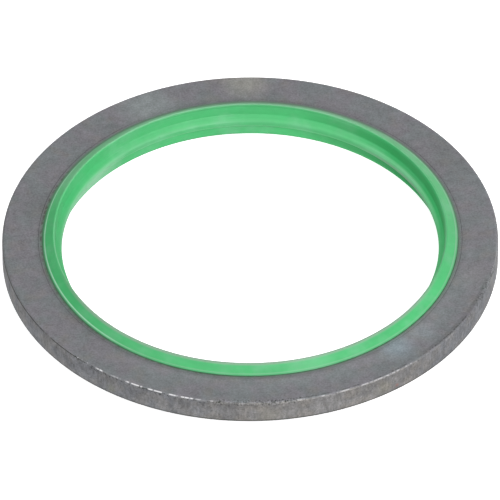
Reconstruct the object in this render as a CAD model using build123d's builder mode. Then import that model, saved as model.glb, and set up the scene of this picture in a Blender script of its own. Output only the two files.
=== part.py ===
# Bonded sealing washer for an M22 thread, 22.7 x 30 x 1.5 mm size: a flat steel ring with a
# rubber seal moulded and bonded into its bore.
#
# Frame: millimetres. +Z is the axis of the ring, and the origin is on that axis, in the plane
# that the lower sealing crest stands on.
#
# Both pieces are revolved from a section drawn with the radius along x and the height above
# the mid-plane of the washer along y. The rubber is the same above and below that mid-plane.
# The steel is too, apart from its outer edge, where the punch rolls the upper corner over and
# leaves the lower one nearly sharp.

from build123d import *
import os
from math import cos, radians, sin, tan

# Steel ring. The rubber is bonded to its bore, and the radial widths of both pieces are
# counted from there: 25.15 + 2 x 2.425 gives the outside diameter of 30.
bond_bore_d = 25.15
steel_width = 2.425
steel_thickness = 1.5
edge_roll = 0.15  # upper outer corner
edge_break = 0.07  # lower outer corner

# Bead of the rubber seal
foot_step = 0.05  # height of the rubber above the steel's face where the two meet
bead_proud = 0.42  # crest above the face
bead_flank = 30.0  # outer flank, degrees from the face
bead_draft = 3.0  # inner flank, degrees from the axis
crest_radius = 0.1

# Centring lip of the rubber seal
seal_width = 1.175  # from the bonded wall to the tip of the lip
lip_tip_thickness = 0.32
lip_tip_radius = 0.2
lip_root_thickness = 0.92

# Radii, and heights above the mid-plane
bond_bore_r = bond_bore_d / 2
lip_bore_r = bond_bore_r - seal_width
face_y = steel_thickness / 2
foot_y = face_y + foot_step
lip_tip_y = lip_tip_thickness / 2
lip_root_y = lip_root_thickness / 2

# The crest of the bead is an arc that both flanks meet tangentially. The outer flank runs from
# the foot, at the steel's bore, up to the arc, and the inner flank down to the root of the lip.
flank = radians(bead_flank)
draft = radians(bead_draft)
crest_centre_y = face_y + bead_proud - crest_radius
crest_centre_r = bond_bore_r - (crest_centre_y - foot_y) / tan(flank) - crest_radius / sin(flank)
outer_tangent = (crest_centre_r + crest_radius * sin(flank), crest_centre_y + crest_radius * cos(flank))
inner_tangent = (crest_centre_r - crest_radius * cos(draft), crest_centre_y + crest_radius * sin(draft))
lip_root_r = inner_tangent[0] - (inner_tangent[1] - lip_root_y) * tan(draft)

section_plane = Plane.XZ.shift_origin((0, 0, face_y + bead_proud))


# Flat ring, blanked from strip
with BuildPart() as steel_ring:
    with BuildSketch(section_plane):
        with Locations((bond_bore_r, 0)):
            Rectangle(steel_width, steel_thickness, align=(Align.MIN, Align.CENTER))
        fillet(vertices().group_by(Axis.Y)[-1].sort_by(Axis.X)[-1], edge_roll)
        chamfer(vertices().group_by(Axis.Y)[0].sort_by(Axis.X)[-1], edge_break)
    revolve(axis=Axis.Z)
steel_ring.part.label = "steel_ring"


# Sealing bead, proud of both faces of the steel, and the thinner lip that centres the washer
# on the thread
with BuildPart() as rubber_seal:
    with BuildSketch(section_plane):
        with BuildLine():
            Line((bond_bore_r, foot_y), outer_tangent)
            CenterArc(
                (crest_centre_r, crest_centre_y),
                crest_radius,
                start_angle=90 - bead_flank,
                arc_size=90 + bead_flank - bead_draft,
            )
            Polyline(inner_tangent, (lip_root_r, lip_root_y), (lip_bore_r, lip_tip_y))
            mirror(about=Plane.XZ)
            Line((bond_bore_r, foot_y), (bond_bore_r, -foot_y))
            Line((lip_bore_r, lip_tip_y), (lip_bore_r, -lip_tip_y))
        make_face()
        fillet(vertices().group_by(Axis.X)[0], lip_tip_radius)
    revolve(axis=Axis.Z)
rubber_seal.part.label = "rubber_seal"


os.makedirs("parts", exist_ok=True)
export_step(steel_ring.part, "parts/steel_ring.step")
export_step(rubber_seal.part, "parts/rubber_seal.step")
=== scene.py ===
from math import cos, pi, radians, sin, tan

import bpy
import numpy as np
from mathutils import Matrix, Vector


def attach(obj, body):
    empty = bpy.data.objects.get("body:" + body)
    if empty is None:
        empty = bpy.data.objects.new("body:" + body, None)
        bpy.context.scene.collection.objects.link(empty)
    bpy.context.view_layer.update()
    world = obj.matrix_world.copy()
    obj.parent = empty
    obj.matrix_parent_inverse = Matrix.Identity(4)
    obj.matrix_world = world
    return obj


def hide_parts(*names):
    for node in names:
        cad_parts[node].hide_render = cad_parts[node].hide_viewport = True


mm = 0.001

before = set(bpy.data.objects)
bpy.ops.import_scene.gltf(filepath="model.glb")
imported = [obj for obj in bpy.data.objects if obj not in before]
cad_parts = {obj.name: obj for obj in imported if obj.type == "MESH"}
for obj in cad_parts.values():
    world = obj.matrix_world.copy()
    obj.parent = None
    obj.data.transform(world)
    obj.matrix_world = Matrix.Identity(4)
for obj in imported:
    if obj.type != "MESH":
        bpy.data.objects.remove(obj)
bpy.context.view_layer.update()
print("frame loaded")


# wraps a node socket, so that an expression on wires adds its Math nodes
class Wire:
    def __init__(self, bench, socket):
        self.bench = bench
        self.socket = socket

    def __add__(self, other):
        return self.bench.math("ADD", self, other)

    def __sub__(self, other):
        return self.bench.math("SUBTRACT", self, other)

    def __rsub__(self, other):
        return self.bench.math("SUBTRACT", other, self)

    def __mul__(self, other):
        return self.bench.math("MULTIPLY", self, other)

    def __truediv__(self, other):
        return self.bench.math("DIVIDE", self, other)

    __radd__ = __add__


# one material with its node tree
class Bench:
    def __init__(self, name):
        self.material = bpy.data.materials.new(name)
        self.material.use_nodes = True
        self.tree = self.material.node_tree
        self.shader = self.tree.nodes["Principled BSDF"]

    def node(self, kind, settings, sockets, output=0):
        made = self.tree.nodes.new(kind)
        for key, value in settings.items():
            setattr(made, key, value)
        for key, value in sockets.items():
            self.feed(made.inputs[key], value)
        return Wire(self, made.outputs[output])

    def feed(self, socket, value):
        if isinstance(value, Wire):
            self.tree.links.new(value.socket, socket)
        else:
            socket.default_value = value

    def math(self, operation, first, second):
        return self.node("ShaderNodeMath", {"operation": operation}, {0: first, 1: second})

    # output 1 is the node's number, for the operations that give one
    def vector(self, operation, first, second=(0, 0, 0), output=0):
        return self.node("ShaderNodeVectorMath", {"operation": operation}, {0: first, 1: second}, output)

    def scaled(self, vector, factor):
        return self.node("ShaderNodeVectorMath", {"operation": "SCALE"}, {0: vector, "Scale": factor})

    # 0 below low, 1 above high
    def fade(self, value, low, high):
        return self.node(
            "ShaderNodeMapRange",
            {"interpolation_type": "SMOOTHSTEP"},
            {"Value": value, "From Min": low, "From Max": high},
        )

    # 1 between low and high
    def band(self, value, low, high, soft):
        return self.fade(value, low - soft, low + soft) * (1 - self.fade(value, high - soft, high + soft))

    def blend(self, factor, first, second):
        return self.node(
            "ShaderNodeMix", {"data_type": "RGBA"}, {0: factor, 6: opaque(first), 7: opaque(second)}, 2
        )

    def noise(self, vector, detail, roughness):
        sockets = {"Vector": vector, "Scale": 1, "Detail": detail, "Roughness": roughness}
        return self.node("ShaderNodeTexNoise", {}, sockets)

    # even mottling, with spots of the given size; the seed moves the pattern
    def mottle(self, size, seed, detail=3, roughness=0.5):
        moved = self.vector("ADD", self.scaled(self.place, 1 / size), (seed * 7.3, seed * 3.1, seed * 5.7))
        return self.noise(moved, detail, roughness)

    # mottling drawn out round the ring by along, and by across over the radius and the height
    def streaks(self, along, across, seed, detail=3):
        course = self.scaled(self.heading, steel["outerRadius"] / along)
        rise = (self.radius + self.height * 1.3) / across + seed * 11
        lift = self.node("ShaderNodeCombineXYZ", {}, {"Z": rise})
        return self.noise(self.vector("ADD", course, lift), detail, 0.5)

    # 1 between two headings, in degrees counted from +X
    def sector(self, start, end, soft):
        centre, reach = radians((start + end) / 2), radians((end - start) / 2)
        middle = (cos(centre), sin(centre), 0)
        turn = self.vector("DOT_PRODUCT", self.heading, middle, 1)
        return self.fade(turn, cos(reach + radians(soft)), cos(max(0, reach - radians(soft))))

    def sectors(self, stretches, soft):
        return sum(self.sector(start, end, soft) for start, end in stretches)

    # strengths along the ring, from rows of start, end, softness and strength
    def along(self, rows):
        return sum(self.sector(start, end, soft) * strength for start, end, soft, strength in rows)

    # 1 round a point on the ring
    def patch(self, heading, radius, height, core, rimSheen):
        centre = (radius * cos(radians(heading)), radius * sin(radians(heading)), height)
        gap = self.vector("DISTANCE", self.place, centre, 1)
        return 1 - self.fade(gap, core, rimSheen)

    # place, heading, radius and height of the shaded point
    def survey(self):
        self.place = self.node("ShaderNodeTexCoord", {}, {}, "Object")
        flat = self.vector("MULTIPLY", self.place, (1, 1, 0))
        self.heading = self.vector("NORMALIZE", flat)
        self.radius = self.vector("LENGTH", flat, output=1)
        self.height = self.node("ShaderNodeSeparateXYZ", {}, {0: self.place}, "Z")

    def bump(self, height, depth):
        return self.node("ShaderNodeBump", {}, {"Height": height, "Distance": depth})

    def finish(self, **sockets):
        for name, value in sockets.items():
            self.feed(self.shader.inputs[name.replace("_", " ")], opaque(value))
        return self.material


def opaque(colour):
    return (*colour, 1) if isinstance(colour, tuple) and len(colour) == 3 else colour


# corners are (radius from the axis, height, corner radius); a round corner gets an arc,
# and each straight run gets close loops at its ends so that flat faces shade flat
def roundedOutline(corners, runStep):
    arcStep = radians(14)
    support = 0.02 * mm
    count = len(corners)
    points = []
    ends = []
    for i, (r, z, rounding) in enumerate(corners):
        here = Vector((r, z))
        before = (Vector(corners[i - 1][:2]) - here).normalized()
        after = (Vector(corners[(i + 1) % count][:2]) - here).normalized()
        half = before.angle(after) / 2
        reach = rounding / tan(half)
        centre = here + (before + after).normalized() * rounding / sin(half)
        start = here + before * reach
        turn = pi - 2 * half
        side = 1 if before.x * after.y - before.y * after.x < 0 else -1
        steps = max(2, round(turn / arcStep))
        arc = []
        for k in range(steps + 1):
            spun = (start - centre).copy()
            spun.rotate(Matrix.Rotation(side * turn * k / steps, 2))
            arc.append(centre + spun)
        ends.append(arc)
    for i, arc in enumerate(ends):
        points += arc
        start, end = arc[-1], ends[(i + 1) % count][0]
        length = (end - start).length
        if length > 3 * support:
            inner = max(1, round(length / runStep))
            shares = [support / length] + [k / inner for k in range(1, inner)] + [1 - support / length]
            points += [start.lerp(end, share) for share in shares]
    return [(p.x, p.y) for p in points]


def ringMesh(name, outline, segments, shape=None):
    outline = np.array(outline)
    angles = np.linspace(0, 2 * pi, segments, endpoint=False)[:, None]
    r = np.repeat(outline[None, :, 0], segments, axis=0)
    z = np.repeat(outline[None, :, 1], segments, axis=0)
    if shape:
        r, z = shape(angles, r, z)
    places = np.stack([r * np.cos(angles), r * np.sin(angles), z], axis=-1).reshape(-1, 3)
    count = len(outline)
    i, j = np.meshgrid(np.arange(segments), np.arange(count), indexing="ij")
    nextI, nextJ = (i + 1) % segments, (j + 1) % count
    faces = np.stack([i * count + j, nextI * count + j, nextI * count + nextJ, i * count + nextJ], axis=-1)
    mesh = bpy.data.meshes.new(name)
    mesh.from_pydata(places.tolist(), [], faces.reshape(-1, 4).tolist())
    mesh.shade_smooth()
    piece = bpy.data.objects.new(name, mesh)
    bpy.context.scene.collection.objects.link(piece)
    return piece


# steel ring, blanked from strip: the punch rolls its upper outer edge over
steel = {
    "outerRadius": 15 * mm,
    "boreRadius": 12.575 * mm,
    "bottom": 0.42 * mm,  # the lower bead of the rubber holds it up
    "thickness": 1.5 * mm,
    "edgeRoll": 0.15 * mm,
    "edgeBreak": 0.07 * mm,
    "trackWidth": 0.24 * mm,  # left by the lip of the mould round the rubber
    "trackDepth": 0.015 * mm,
    "segments": 1200,
    "runStep": 0.25 * mm,  # loops on straight runs
    "coolGrey": (0.27, 0.288, 0.298),
    "mauveGrey": (0.29, 0.282, 0.305),
    "brownGrey": (0.302, 0.288, 0.276),
    "wallCool": (0.286, 0.292, 0.31),
    "wallWarm": (0.348, 0.331, 0.312),
    "grimeAndShade": (0.06, 0.07, 0.058),
    "greenGrime": (0.2, 0.34, 0.24),
    "cornerGrimeAndShade": (0.05, 0.11, 0.065),
    "rust": (0.12, 0.085, 0.08),
    "bareSteelAndHighlight": (0.82, 0.82, 0.83),
    "roughness": 0.7,
    "bumpDepth": 0.012 * mm,
    # patches: heading in degrees, radius, height and size in millimetres, strength and colour
    "patches": [
        (91, 14.4, 1.92, 2.1, 0.9, (0.4, 0.395, 0.37)),
        (117, 13.7, 1.92, 2.6, 0.9, (0.35, 0.38, 0.385)),
        (311, 13.35, 1.92, 1.6, 0.85, (0.33, 0.385, 0.42)),
        (320, 13.5, 1.92, 1.2, 0.55, (0.34, 0.38, 0.4)),
        (345, 13.9, 1.92, 1.8, 0.4, (0.35, 0.35, 0.355)),
        (167, 13.2, 1.92, 1.8, 0.5, (0.225, 0.235, 0.24)),
        (33, 14.5, 1.92, 3.0, 0.4, (0.24, 0.245, 0.25)),
        (305.7, 15.0, 0.79, 0.2, 0.7, (0.34, 0.2, 0.18)),
        (236, 15.0, 0.85, 0.5, 0.4, (0.3, 0.31, 0.25)),
        (274, 15.0, 0.8, 1.1, 0.35, (0.34, 0.32, 0.26)),
        (302, 15.0, 1.0, 0.8, 0.35, (0.34, 0.33, 0.27)),
    ],
    # painted light, warmth and painted shade along the ring, as start and end in degrees, softness and
    # strength
    "innerLight": [(235, 338, 12, 0.18)],
    "faceLight": [(225, 300, 20, 0.03), (345, 375, 10, 0.02)],
    "wallLight": [(190, 230, 15, 0.08), (318, 355, 10, 0.06)],
    "wallSlopeLight": [(212, 305, 12, 0.12)],
    "wallWarmth": [(262, 312, 8, 0.45)],
    "footShade": [(255, 350, 15, 0.2)],
    # the same for the track round the rubber and the painted shade in its corner
    "farTrack": [(60, 120, 15, 1)],
    "trackLine": [(150, 232, 8, 0.25), (305, 348, 8, 0.25)],
    "trackRust": [(152, 185, 6, 0.25), (150, 262, 8, 0.3)],
    "cornerShift": [(235, 345, 20, 0.03 * mm)],
    "cornerNear": [(235, 345, 20, 0.25)],
    "cornerFar": [(30, 175, 15, 0.5)],
    "cornerLeft": [(165, 210, 12, 0.8)],
    # and for painted highlights and wear along the rolled edge
    "edgeGlintFlecks": [(225.5, 231.5, 1, 0.6)],
    "edgeGleam": [(341, 357, 3, 0.2)],
    "edgeBruise": [(262, 283, 5, 0.2)],
    "edgeBites": [(222, 262, 2, 0.6)],
    "edgeSmudge": [(315, 345, 4, 0.3)],
    # stretches of the rolled edge, in degrees: painted highlight on rubbed steel, weaker painted highlight
    # on rubbed steel, painted shade, creased and bruised
    "highlightEdge": [(231.9, 233.6), (239.9, 244.2), (245.7, 249.4), (250.8, 256.6)],
    "wornHighlightEdge": [
        (234.6, 238.6),
        (257.2, 261.6),
        (280.2, 287.1),
        (288.8, 293.1),
        (295.1, 306.6),
        (308.3, 310),
        (315.7, 318),
    ],
    "shadedEdge": [(150, 214), (217, 228.5), (244.5, 245.5)],
    "creasedEdge": [(272, 296), (298.5, 309.4), (313, 331)],
    "bruisedEdge": [(262, 283), (336, 350)],
    # small nicks in it: how many, their greatest depth, half their width in degrees, how far they
    # reach in from the corner, over what they fade out there, and their shares inward and downward
    "nicks": 34,
    "nickDepth": 0.022 * mm,
    "nickWidth": (0.25, 0.7),
    "nickReach": 0.32 * mm,
    "nickFade": 0.2 * mm,
    "nickSlant": (0.6, 0.8),
}
steelTop = steel["bottom"] + steel["thickness"]
steelMiddle = steel["bottom"] + steel["thickness"] / 2


def steelOutline():
    s = steel
    low, high = s["bottom"], steelTop
    trackOut = s["boreRadius"] + s["trackWidth"]
    tiny = 0.01 * mm
    corners = [
        (s["boreRadius"], low + s["trackDepth"], tiny),
        (trackOut, low + s["trackDepth"], tiny),
        (trackOut + tiny, low, tiny),
        (s["outerRadius"], low, s["edgeBreak"]),
        (s["outerRadius"], high, s["edgeRoll"]),
        (trackOut + tiny, high, tiny),
        (trackOut, high - s["trackDepth"], tiny),
        (s["boreRadius"], high - s["trackDepth"], tiny),
    ]
    return roundedOutline(corners, s["runStep"])


# small nicks, along the bruised, creased and worn, highlighted stretches of the rolled edge
def steelShape(angles, r, z):
    s = steel
    chance = np.random.default_rng(22)
    stretches = s["bruisedEdge"] * 3 + s["creasedEdge"] + s["wornHighlightEdge"]
    nearness = np.clip((r + z - s["outerRadius"] - steelTop + s["nickReach"]) / s["nickFade"], 0, 1)
    inward, downward = s["nickSlant"]
    for _ in range(s["nicks"]):
        start, end = stretches[chance.integers(len(stretches))]
        heading = radians(chance.uniform(start, end))
        gap = (angles - heading) / radians(chance.uniform(*s["nickWidth"]))
        depth = s["nickDepth"] * chance.uniform(0.3, 1) * np.exp(-(gap**2)) * nearness
        r = r - depth * inward
        z = z - depth * downward
    return r, z


# the faces, with soft clouds of colour, and the wall, sheared from top to bottom, with blots and stains,
# all with painted light and shade along the ring
def steelGround(b, wall, grain, cloud):
    s = steel
    face = b.blend(b.fade(b.mottle(1.7 * mm, 1), 0.38, 0.62), s["coolGrey"], s["mauveGrey"])
    face = b.blend(b.fade(b.mottle(1.1 * mm, 2), 0.5, 0.72) * 0.5, face, s["brownGrey"])

    warmth = b.fade(b.mottle(0.9 * mm, 3), 0.4, 0.62) * 0.4 + b.along(s["wallWarmth"])
    sheared = b.blend(warmth, s["wallCool"], s["wallWarm"])
    shear = b.streaks(0.14 * mm, 0.7 * mm, 4)
    blots = b.mottle(0.26 * mm, 5, 3, 0.6)
    stains = b.mottle(0.8 * mm, 12, 2)
    specks = b.fade(b.mottle(0.13 * mm, 11, 2), 0.56, 0.7)
    sheared = b.scaled(sheared, 0.1 + shear * 0.6 + blots * 0.48 + stains * 0.6)
    sheared = b.blend(specks * 0.3, sheared, s["grimeAndShade"])
    tone = b.blend(wall, face, sheared)

    for heading, radius, height, size, strength, colour in s["patches"]:
        spot = b.patch(heading, radius * mm, height * mm, 0.1 * size * mm, size * mm)
        tone = b.blend(spot * strength, tone, colour)

    # painted light and shade: the face lighter near the rubber on the near side, lighter stretches of face
    # and wall, and the wall shaded by its height
    inner = 1 - b.fade(b.radius, s["boreRadius"] + 0.325 * mm, s["boreRadius"] + 1.825 * mm)
    rise = b.fade(b.height, s["bottom"] + 0.4 * mm, steelTop - 0.3 * mm)
    lit = b.along(s["innerLight"]) * inner + b.along(s["faceLight"])
    lit = lit + (b.along(s["wallLight"]) + b.along(s["wallSlopeLight"]) * (0.5 - rise)) * wall
    return b.scaled(tone, lit + 0.35 + grain * 0.75 + cloud * 0.55), shear + blots


# where the mould shut on the steel: a pressed track with its outer line, grime and rust, and painted shade
# with some grime in the corner at the rubber
def mouldTrack(b, tone):
    s = steel
    bore = s["boreRadius"]
    near = 1 - b.along(s["farTrack"])
    uneven = b.fade(b.streaks(0.5 * mm, 2 * mm, 8, 2), 0.3, 0.55)
    track = 1 - b.fade(b.radius, bore + 0.02 * mm, bore + 0.2 * mm)
    tone = b.blend(track * (uneven * 0.3 + 0.7), tone, s["greenGrime"])
    halo = 1 - b.fade(b.radius, bore + 0.26 * mm, bore + 0.55 * mm)
    tone = b.blend(halo * 0.1, tone, s["grimeAndShade"])

    border = bore + s["trackWidth"]
    line = b.band(b.radius, border - 0.02 * mm, border + 0.02 * mm, 0.015 * mm) * (near * 0.6 + 0.4)
    pits = b.fade(b.mottle(0.25 * mm, 14, 2), 0.35, 0.65)
    tone = b.blend(line * (uneven * 0.15 + pits * 0.2 + b.along(s["trackLine"]) + 0.03), tone, s["grimeAndShade"])

    # painted shade in the corner at the rubber, with some grime
    corner = 1 - b.fade(b.radius - b.along(s["cornerShift"]), bore, bore + 0.035 * mm)
    corner = corner * (1 - b.along(s["cornerNear"])) * (1 - b.along(s["cornerFar"]))
    corner = corner * (1 - b.along(s["cornerLeft"]))
    tone = b.blend(corner * (uneven * 0.4 + 0.3), tone, s["cornerGrimeAndShade"])

    spots = b.fade(b.mottle(0.28 * mm, 13, 3), 0.42, 0.62)
    rust = b.band(b.radius, bore + 0.02 * mm, bore + 0.16 * mm, 0.03 * mm) * spots
    return b.blend(rust * b.along(s["trackRust"]), tone, s["rust"])


# the rolled edge: painted highlights on its ridge, where it is partly rubbed bare, and painted shade on and
# under it, with a crease on the face above, bites and bruises
def rolledEdge(b, tone, wall, cloud):
    s = steel
    outer = s["outerRadius"]
    climb = b.radius + b.height - (outer + steelTop)
    ridge = b.fade(climb, -0.1 * mm, -0.091 * mm)
    around = b.fade(climb, -0.3 * mm, -0.2 * mm)
    under = b.band(b.height, steelTop - 0.11 * mm, steelTop - 0.06 * mm, 0.015 * mm) * wall
    crease = b.band(b.radius, outer - 0.18 * mm, outer - 0.1 * mm, 0.04 * mm)
    crease = crease * b.fade(b.height, steelTop - 0.05 * mm, steelTop - 0.03 * mm)
    smudge = b.band(b.radius, outer - 0.35 * mm, outer - 0.1 * mm, 0.06 * mm) * b.fade(cloud, 0.3, 0.6)

    dashes = b.fade(b.streaks(0.17 * mm, 4 * mm, 9, 2), 0.4, 0.52)
    chips = b.mottle(0.12 * mm, 10, 2)
    flecks = b.fade(chips, 0.52, 0.6)
    bitten = 1 - b.fade(chips, 0.38, 0.46)
    bruised = b.sectors(s["bruisedEdge"], 1)

    # painted highlights along the ridge, where the steel is partly rubbed bare
    rubbedHighlight = ridge * dashes * (b.sectors(s["highlightEdge"], 0.3) * 0.9 + b.sectors(s["wornHighlightEdge"], 0.3) * 0.38)
    rubbedHighlight = rubbedHighlight + flecks * (around * bruised * 0.08 + ridge * b.along(s["edgeGlintFlecks"]))
    rubbedHighlight = rubbedHighlight + ridge * b.along(s["edgeGleam"])

    # painted shade under the ridge and on the bruised ridge, with real bites, bruises and a smudge, and a
    # dark line in the crease
    darkMarksAndShade = under * b.sectors(s["shadedEdge"], 1) * 0.8
    darkMarksAndShade = darkMarksAndShade + around * bruised * bitten * (b.along(s["edgeBruise"]) + 0.35)
    darkMarksAndShade = darkMarksAndShade + around * wall * bitten * b.along(s["edgeBites"])
    darkMarksAndShade = darkMarksAndShade + smudge * b.along(s["edgeSmudge"])
    darkMarksAndShade = darkMarksAndShade + ridge * bruised * 0.4
    darkMarksAndShade = darkMarksAndShade + crease * (dashes * 0.32 + bitten * 0.35) * b.sectors(s["creasedEdge"], 0.5)
    return b.blend(rubbedHighlight, b.blend(darkMarksAndShade, tone, s["grimeAndShade"]), s["bareSteelAndHighlight"]), rubbedHighlight


# painted shade: the foot of the wall is darkened
def wallFoot(b, tone):
    s = steel
    foot = 1 - b.fade(b.height, s["bottom"] + 0.08 * mm, s["bottom"] + 0.15 * mm)
    foot = foot * b.fade(b.radius, s["outerRadius"] - 0.12 * mm, s["outerRadius"] - 0.08 * mm)
    return b.blend(foot * (b.along(s["footShade"]) + 0.6), tone, s["grimeAndShade"])


def steelFinish():
    b = Bench("matteSteel")
    b.survey()
    s = steel
    wall = b.fade(b.radius, s["outerRadius"] - 0.08 * mm, s["outerRadius"] - 0.02 * mm)
    grain = b.mottle(0.12 * mm, 6, 2, 0.7)
    cloud = b.mottle(0.5 * mm, 7, 3, 0.6)
    tone, marks = steelGround(b, wall, grain, cloud)
    tone = mouldTrack(b, tone)
    tone, rubbedHighlight = rolledEdge(b, tone, wall, cloud)
    tone = wallFoot(b, tone)
    return b.finish(
        Base_Color=tone,
        Metallic=1,
        Roughness=s["roughness"] + cloud * 0.1 - 0.05 - rubbedHighlight * 0.2,
        Normal=b.bump(marks * wall + grain * 0.6 + cloud * 0.4, s["bumpDepth"]),
    )


# rubber seal: a bead on both faces and the lip that centres the washer on the thread
rubber = {
    "bondRadius": steel["boreRadius"],
    "footStep": 0.02 * mm,
    "footRadius": 0.02 * mm,
    "proud": 0.42 * mm,
    "flank": radians(32),
    "draft": radians(3),
    "crestRadius": 0.1 * mm,
    "boreRadius": 11.4 * mm,
    "tipHalf": 0.16 * mm,
    "tipRadius": 0.2 * mm,
    "rootHalf": 0.46 * mm,
    "rootRadius": 0.1 * mm,
    "segments": 960,
    "runStep": 0.2 * mm,
    "green": (0.055, 0.42, 0.14),
    "paleGreen": (0.13, 0.44, 0.22),
    "mintHighlight": (0.34, 0.62, 0.44),
    "dullSheen": (0.15, 0.36, 0.2),
    "rimSheen": (0.215, 0.345, 0.245),
    "hazyHighlight": (0.5, 0.7, 0.57),
    "deep": (0.02, 0.4, 0.11),
    "shadeAndDirt": (0.07, 0.14, 0.09),
    "cornerShadeGreen": (0, 0.26, 0.05),
    "roughness": 0.45,
    "bumpDepth": 0.008 * mm,
    # colour, painted sheen and painted light along the ring, as start and end in degrees, softness and
    # strength
    "far": [(55, 125, 15, 1)],
    "leftInside": [(150, 215, 20, 1)],
    "rightInside": [(8, 48, 12, 1)],
    "sheenBead": [(45, 160, 12, 0.35), (112, 160, 12, 0.2)],
    "deepBead": [(200, 250, 15, 0.2)],
    "sheenLip": [(318, 342, 8, 0.35), (170, 192, 8, 0.2)],
    "beadLight": [(110, 165, 12, 0.2), (318, 342, 8, 0.09), (45, 75, 8, 0.08), (75, 105, 8, -0.1)],
    "lipLight": [(335, 377, 15, 0.18), (48, 80, 8, 0.07), (138, 165, 10, 0.04)],
    "allLight": [(195, 290, 15, -0.05)],
    # the same for the foot and its painted highlight
    "facing": [(225, 345, 15, 1)],
    "footHighlightShift": [(30, 182, 12, 0.028 * mm), (132, 172, 12, 0.028 * mm)],
    "footHighlightMint": [(148, 230, 12, 0.8)],
    # and for the painted highlight and sheen on the crest and the painted shadow in the corner behind it
    "crestBare": [(140, 170, 10, 1)],
    "crestSheen": [(205, 335, 12, 0.9)],
    "lipCornerShade": [(355, 425, 15, 0.4)],
    # and for the painted highlights and sheen on the nose of the lip, and painted light on the lower bead
    "shoulderBare": [(335, 415, 15, 1)],
    "noseHighlight": [(138, 178, 8, 1)],
    "noseSheen": [(12, 48, 12, 1)],
    "noseVergeSheen": [(180, 215, 15, 0.75), (335, 405, 15, 0.75)],
    "lowerBeadLight": [(70, 125, 15, 0.12), (50, 85, 10, 0.12)],
    # a paler patch: heading in degrees, radius, height and size in millimetres, and strength
    "clearing": (287, 12.2, 2.1, 2, 0.12),
    # dirt specks: heading in degrees, radius, height and size in millimetres
    "specks": [
        (114.9, 12.3, 2.13, 0.09),
        (89.9, 12.4, 2.07, 0.08),
        (7.8, 12.15, 2.2, 0.05),
        (165, 11.8, 2.09, 0.06),
        (118.9, 11.44, 1.3, 0.05),
    ],
}


# radius of the centre of the crest's arc, and its height above the mid-plane
def crestCentre():
    s = rubber
    half = steel["thickness"] / 2
    y = half + s["proud"] - s["crestRadius"]
    x = s["bondRadius"] - (y - half - s["footStep"]) / tan(s["flank"]) - s["crestRadius"] / sin(s["flank"])
    return x, y


def rubberOutline():
    s = rubber
    outward = Vector((sin(s["flank"]), cos(s["flank"])))
    inward = Vector((-cos(s["draft"]), sin(s["draft"])))
    apex = Vector(crestCentre()) + (outward + inward) * s["crestRadius"] / (1 + outward.dot(inward))
    rootX = apex.x - (apex.y - s["rootHalf"]) * tan(s["draft"])
    upper = [
        (s["bondRadius"], steel["thickness"] / 2 + s["footStep"], s["footRadius"]),
        (apex.x, apex.y, s["crestRadius"]),
        (rootX, s["rootHalf"], s["rootRadius"]),
        (s["boreRadius"], s["tipHalf"], s["tipRadius"]),
    ]
    lower = [(x, -y, rounding) for x, y, rounding in reversed(upper)]
    corners = [(x, steelMiddle + y, rounding) for x, y, rounding in upper + lower]
    return roundedOutline(corners, s["runStep"])


# drawn out round the ring by the mould, with paler clouds, purer in places, and painted sheen and painted
# light along the ring
def rubberGround(b, lines, cloud, inside, nose):
    s = rubber
    tone = b.blend(b.fade(b.mottle(1.6 * mm, 1), 0.45, 0.7) * 0.5, s["green"], s["paleGreen"])
    tone = b.scaled(tone, 0.8 + lines * 0.25 + cloud * 0.15)
    bead = 1 - inside
    pure = b.along(s["leftInside"]) + b.along(s["rightInside"]) * (1 - nose)
    tone = b.blend(inside * pure * 0.6, tone, s["deep"])
    # painted sheen where the bead turns from view, painted light, and painted sheen on the lip
    tone = b.blend(bead * b.along(s["sheenBead"]), tone, s["dullSheen"])
    tone = b.blend(bead * b.along(s["deepBead"]), tone, s["deep"])
    light = inside * b.along(s["lipLight"]) + bead * b.along(s["beadLight"])
    tone = b.scaled(tone, light + 1 + b.along(s["allLight"]))
    return b.blend(inside * b.along(s["sheenLip"]), tone, s["dullSheen"])


# painted highlight round the foot, and painted shade at its edge and on the foot at the far side
def rubberFoot(b, tone, near):
    s = rubber
    bond = s["bondRadius"]
    facing = b.along(s["facing"])
    broken = b.fade(b.streaks(1.2 * mm, 2 * mm, 4, 2), 0.25, 0.55)
    reach = b.radius - bond - facing * 0.035 * mm + b.along(s["footHighlightShift"])
    footHighlight = b.band(reach, -0.155 * mm, -0.09 * mm, 0.02 * mm)
    pale = b.blend(b.along(s["footHighlightMint"]) + 0.15, s["dullSheen"], s["mintHighlight"])
    tone = b.blend(footHighlight * near * (1 - facing * 0.45) * (broken * 0.3 + 0.65), tone, pale)
    # painted shade at the edge of the foot, and on the foot at the far side
    edge = b.fade(reach, -0.07 * mm, -0.03 * mm)
    tone = b.blend(edge * (0.75 - facing * 0.15), tone, s["shadeAndDirt"])
    hiddenShade = b.fade(b.radius, bond - 0.375 * mm, bond - 0.175 * mm) * (1 - near)
    return b.blend(hiddenShade * 0.8, tone, s["shadeAndDirt"])


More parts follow.
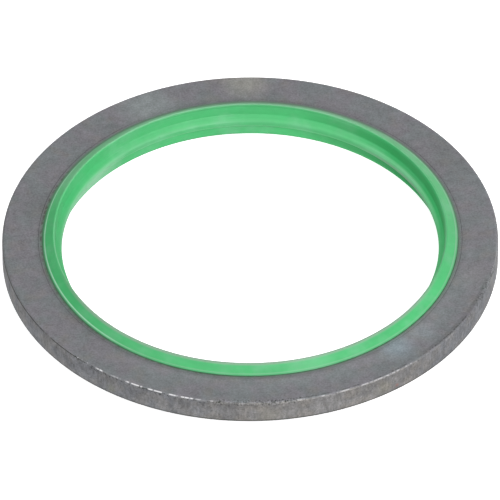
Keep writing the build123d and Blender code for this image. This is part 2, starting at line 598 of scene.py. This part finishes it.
# painted highlight on the crest, painted sheen where it turns away, painted shade on its inner side at the
# far side, and painted shadow in the corner behind it at the far right
def rubberCrest(b, tone, near):
    s = rubber
    crest, y = crestCentre()
    apex = y + s["crestRadius"]
    aside = b.math("ABSOLUTE", b.height - steelMiddle, 0)
    crown = b.fade(aside, apex - 0.11 * mm, apex - 0.07 * mm)
    ridge = b.band(b.radius, crest - 0.066 * mm, crest - 0.016 * mm, 0.02 * mm) * crown
    tone = b.blend(ridge * near * (1 - b.along(s["crestBare"])) * 0.25, tone, s["mintHighlight"])
    rimSheen = 1 - b.fade(b.radius, crest + 0.044 * mm, crest + 0.194 * mm)
    rimSheen = rimSheen * b.fade(aside, apex - 0.17 * mm, apex - 0.12 * mm)
    tone = b.blend(rimSheen * b.along(s["crestSheen"]), tone, s["rimSheen"])
    farRidge = b.band(b.radius, crest - 0.046 * mm, crest + 0.064 * mm, 0.02 * mm) * crown
    tone = b.blend(farRidge * (1 - near) * 0.35, tone, s["mintHighlight"])
    # painted shade on the inner side of the crest at the far side
    turn = 1 - b.fade(b.radius, crest - 0.066 * mm, crest - 0.036 * mm)
    turn = turn * b.fade(aside, apex - 0.17 * mm, apex - 0.11 * mm)
    tone = b.scaled(tone, 1 - turn * (1 - near) * 0.15)
    # painted shadow in the corner behind the crest
    corner = b.band(b.radius, crest - 0.176 * mm, crest - 0.026 * mm, 0.04 * mm)
    corner = corner * (1 - b.fade(aside, apex - 0.32 * mm, apex - 0.05 * mm))
    return b.blend(corner * b.along(s["lipCornerShade"]), tone, s["cornerShadeGreen"])


# the nose of the lip: painted highlights on its shoulder and in hazy patches, a verge of painted sheen, and
# painted light on the lower bead seen past it
def lipNose(b, tone, lines, inside, nose, near):
    s = rubber
    bore, middle = s["boreRadius"], steelMiddle
    streak = b.fade(lines, 0.35, 0.65)
    shoulder = b.band(b.height, middle + 0.11 * mm, middle + 0.21 * mm, 0.05 * mm)
    shoulder = shoulder * (1 - b.along(s["shoulderBare"])) * (near * 0.1 + 0.04)
    tone = b.blend(nose * shoulder, tone, s["mintHighlight"])

    # hazy painted highlight near the nose, and on the lower bead below it
    hazyHighlight = 1 - b.fade(b.height, middle - 0.04 * mm, middle + 0.3 * mm)
    hazyHighlight = hazyHighlight * (1 - b.fade(b.radius, bore + 0.1 * mm, bore + 0.34 * mm)) * (streak * 0.25 + 0.75) * 0.42
    below = (1 - b.fade(b.height, middle - 0.4 * mm, middle - 0.2 * mm)) * inside * 0.4
    tone = b.blend((hazyHighlight + below) * b.along(s["noseHighlight"]), tone, s["hazyHighlight"])

    paler = b.along(s["noseSheen"])
    tone = b.blend(nose * (paler * (streak * 0.12 + 0.1) + 0.05), tone, s["mintHighlight"])
    tone = b.scaled(tone, nose * paler * 0.14 + 1)
    verge = 1 - b.fade(b.height, middle - 0.06 * mm, middle + 0.12 * mm)
    tone = b.blend(nose * verge * b.along(s["noseVergeSheen"]), tone, s["rimSheen"])

    # painted light on the lower bead seen past the nose, and on the underside of the nose at the far side
    under = 1 - b.fade(b.height, middle - 0.15 * mm, middle)
    behind = under * b.fade(b.radius, bore + 0.15 * mm, bore + 0.3 * mm)
    tone = b.scaled(tone, behind * b.along(s["lowerBeadLight"]) + 1)
    return b.scaled(tone, nose * under * (1 - near) * 0.2 + 1)


def rubberSpots(b, tone):
    s = rubber
    heading, radius, height, size, strength = s["clearing"]
    clearing = b.patch(heading, radius * mm, height * mm, 0.4 * size * mm, size * mm)
    tone = b.blend(clearing * strength, tone, s["mintHighlight"])
    for heading, radius, height, size in s["specks"]:
        spot = b.patch(heading, radius * mm, height * mm, 0.3 * size * mm, size * mm)
        tone = b.blend(spot * 0.8, tone, s["shadeAndDirt"])
    return tone


def rubberFinish():
    b = Bench("greenRubber")
    b.survey()
    s = rubber
    crest = crestCentre()[0]
    lines = b.streaks(3 * mm, 0.07 * mm, 2)
    cloud = b.mottle(0.45 * mm, 3, 2)
    near = 1 - b.along(s["far"])
    inside = 1 - b.fade(b.radius, crest - 0.106 * mm, crest - 0.026 * mm)
    nose = 1 - b.fade(b.radius, s["boreRadius"] + 0.08 * mm, s["boreRadius"] + 0.24 * mm)
    tone = rubberGround(b, lines, cloud, inside, nose)
    tone = rubberFoot(b, tone, near)
    tone = rubberCrest(b, tone, near)
    tone = lipNose(b, tone, lines, inside, nose, near)
    tone = rubberSpots(b, tone)
    rough = inside * (b.along(s["leftInside"]) + b.along(s["rightInside"])) * 0.3
    return b.finish(
        Base_Color=tone,
        Roughness=s["roughness"] + cloud * 0.12 - 0.06 + rough,
        Normal=b.bump(lines + cloud * 0.5, s["bumpDepth"]),
    )


steelRing = ringMesh("steelRing", steelOutline(), steel["segments"], steelShape)
steelRing.data.materials.append(steelFinish())
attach(steelRing, "root")
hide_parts("steel_ring")
print("steel ring made")

rubberSeal = ringMesh("rubberSeal", rubberOutline(), rubber["segments"])
rubberSeal.data.materials.append(rubberFinish())
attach(rubberSeal, "root")
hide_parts("rubber_seal")
print("rubber seal made")


# floor, light and camera
studio = {
    "floorSize": 3,
    "floorColour": (0.9, 0.9, 0.9),
    "floorRoughness": 0.9,
    "floorGlow": 0.7,
    "roomAbove": 0.32,
    "roomBelow": 0.7,
    "horizonBlend": 0.02,
    "lampDistance": 1.0,
    # softboxes: heading and elevation in degrees, width in metres and brightness
    "lamps": {
        "key": (300, 24, 1.1, 2.24),
        "keyUpper": (315, 30, 0.8, 1.4),
        "overhead": (270, 80, 0.9, 0.87),
        "back": (80, 15, 0.6, 1.8),
        "backRight": (50, 15, 0.5, 1.0),
        "left": (195, 40, 0.6, 1.7),
        "leftFront": (225, 35, 0.6, 0.6),
        "right": (0, 40, 0.6, 0.5),
    },
}


def studioFloor():
    half = studio["floorSize"] / 2
    mesh = bpy.data.meshes.new("floor")
    corners = [(-half, -half, 0), (half, -half, 0), (half, half, 0), (-half, half, 0)]
    mesh.from_pydata(corners, [], [(0, 1, 2, 3)])
    floor = bpy.data.objects.new("floor", mesh)
    bpy.context.scene.collection.objects.link(floor)
    paper = Bench("paleFloor").finish(
        Base_Color=studio["floorColour"],
        Roughness=studio["floorRoughness"],
        Emission_Color=(1, 1, 1),
        Emission_Strength=studio["floorGlow"],
    )
    mesh.materials.append(paper)
    floor.visible_diffuse = False
    floor.visible_glossy = False


def softbox(name, heading, elevation, width, brightness):
    lamp = bpy.data.lights.new(name, "AREA")
    lamp.size = width
    lamp.energy = brightness * pi * width**2
    light = bpy.data.objects.new(name, lamp)
    turn, rise = radians(heading), radians(elevation)
    aim = Vector((cos(rise) * cos(turn), cos(rise) * sin(turn), sin(rise)))
    light.location = aim * studio["lampDistance"]
    light.rotation_euler = (-aim).to_track_quat("-Z", "Y").to_euler()
    bpy.context.scene.collection.objects.link(light)


# plain room, about twice as bright below the horizon as above it
def room():
    world = bpy.data.worlds.new("room")
    world.use_nodes = True
    nodes, links = world.node_tree.nodes, world.node_tree.links
    split = nodes.new("ShaderNodeSeparateXYZ")
    level = nodes.new("ShaderNodeMapRange")
    level.inputs["From Min"].default_value = -studio["horizonBlend"]
    level.inputs["From Max"].default_value = studio["horizonBlend"]
    level.inputs["To Min"].default_value = studio["roomBelow"]
    level.inputs["To Max"].default_value = studio["roomAbove"]
    links.new(nodes.new("ShaderNodeTexCoord").outputs["Generated"], split.inputs[0])
    links.new(split.outputs["Z"], level.inputs["Value"])
    links.new(level.outputs[0], nodes["Background"].inputs["Strength"])
    nodes["Background"].inputs["Color"].default_value = (1, 1, 1, 1)
    bpy.context.scene.world = world


# main camera, in front of the washer and above it: lens in millimetres, the rest in metres and radians
view = {
    "elevation": radians(41.229),
    "roll": -0.00476,
    "distance": 0.9,
    "lens": 1071.7,
    "aimRight": 0.011 * mm,
    "aimUp": 0.754 * mm,
}


def mainCamera():
    tilt, roll = view["elevation"], view["roll"]
    ahead = Vector((0, cos(tilt), -sin(tilt)))
    right = Vector((cos(roll), sin(roll) * sin(tilt), sin(roll) * cos(tilt)))
    up = right.cross(ahead)
    face = Vector((0, 0, steelTop))
    lens = bpy.data.cameras.new("camera")
    lens.lens = view["lens"]
    lens.clip_start, lens.clip_end = 0.1, 10
    camera = bpy.data.objects.new("camera", lens)
    place = face - ahead * view["distance"] - right * view["aimRight"] - up * view["aimUp"]
    camera.matrix_world = Matrix.Translation(place) @ Matrix((right, up, -ahead)).transposed().to_4x4()
    bpy.context.scene.collection.objects.link(camera)
    bpy.context.scene.camera = camera


studioFloor()
for lampName, lampSetting in studio["lamps"].items():
    softbox(lampName, *lampSetting)
room()
mainCamera()
bpy.context.scene.view_settings.view_transform = "Standard"
print("studio made")
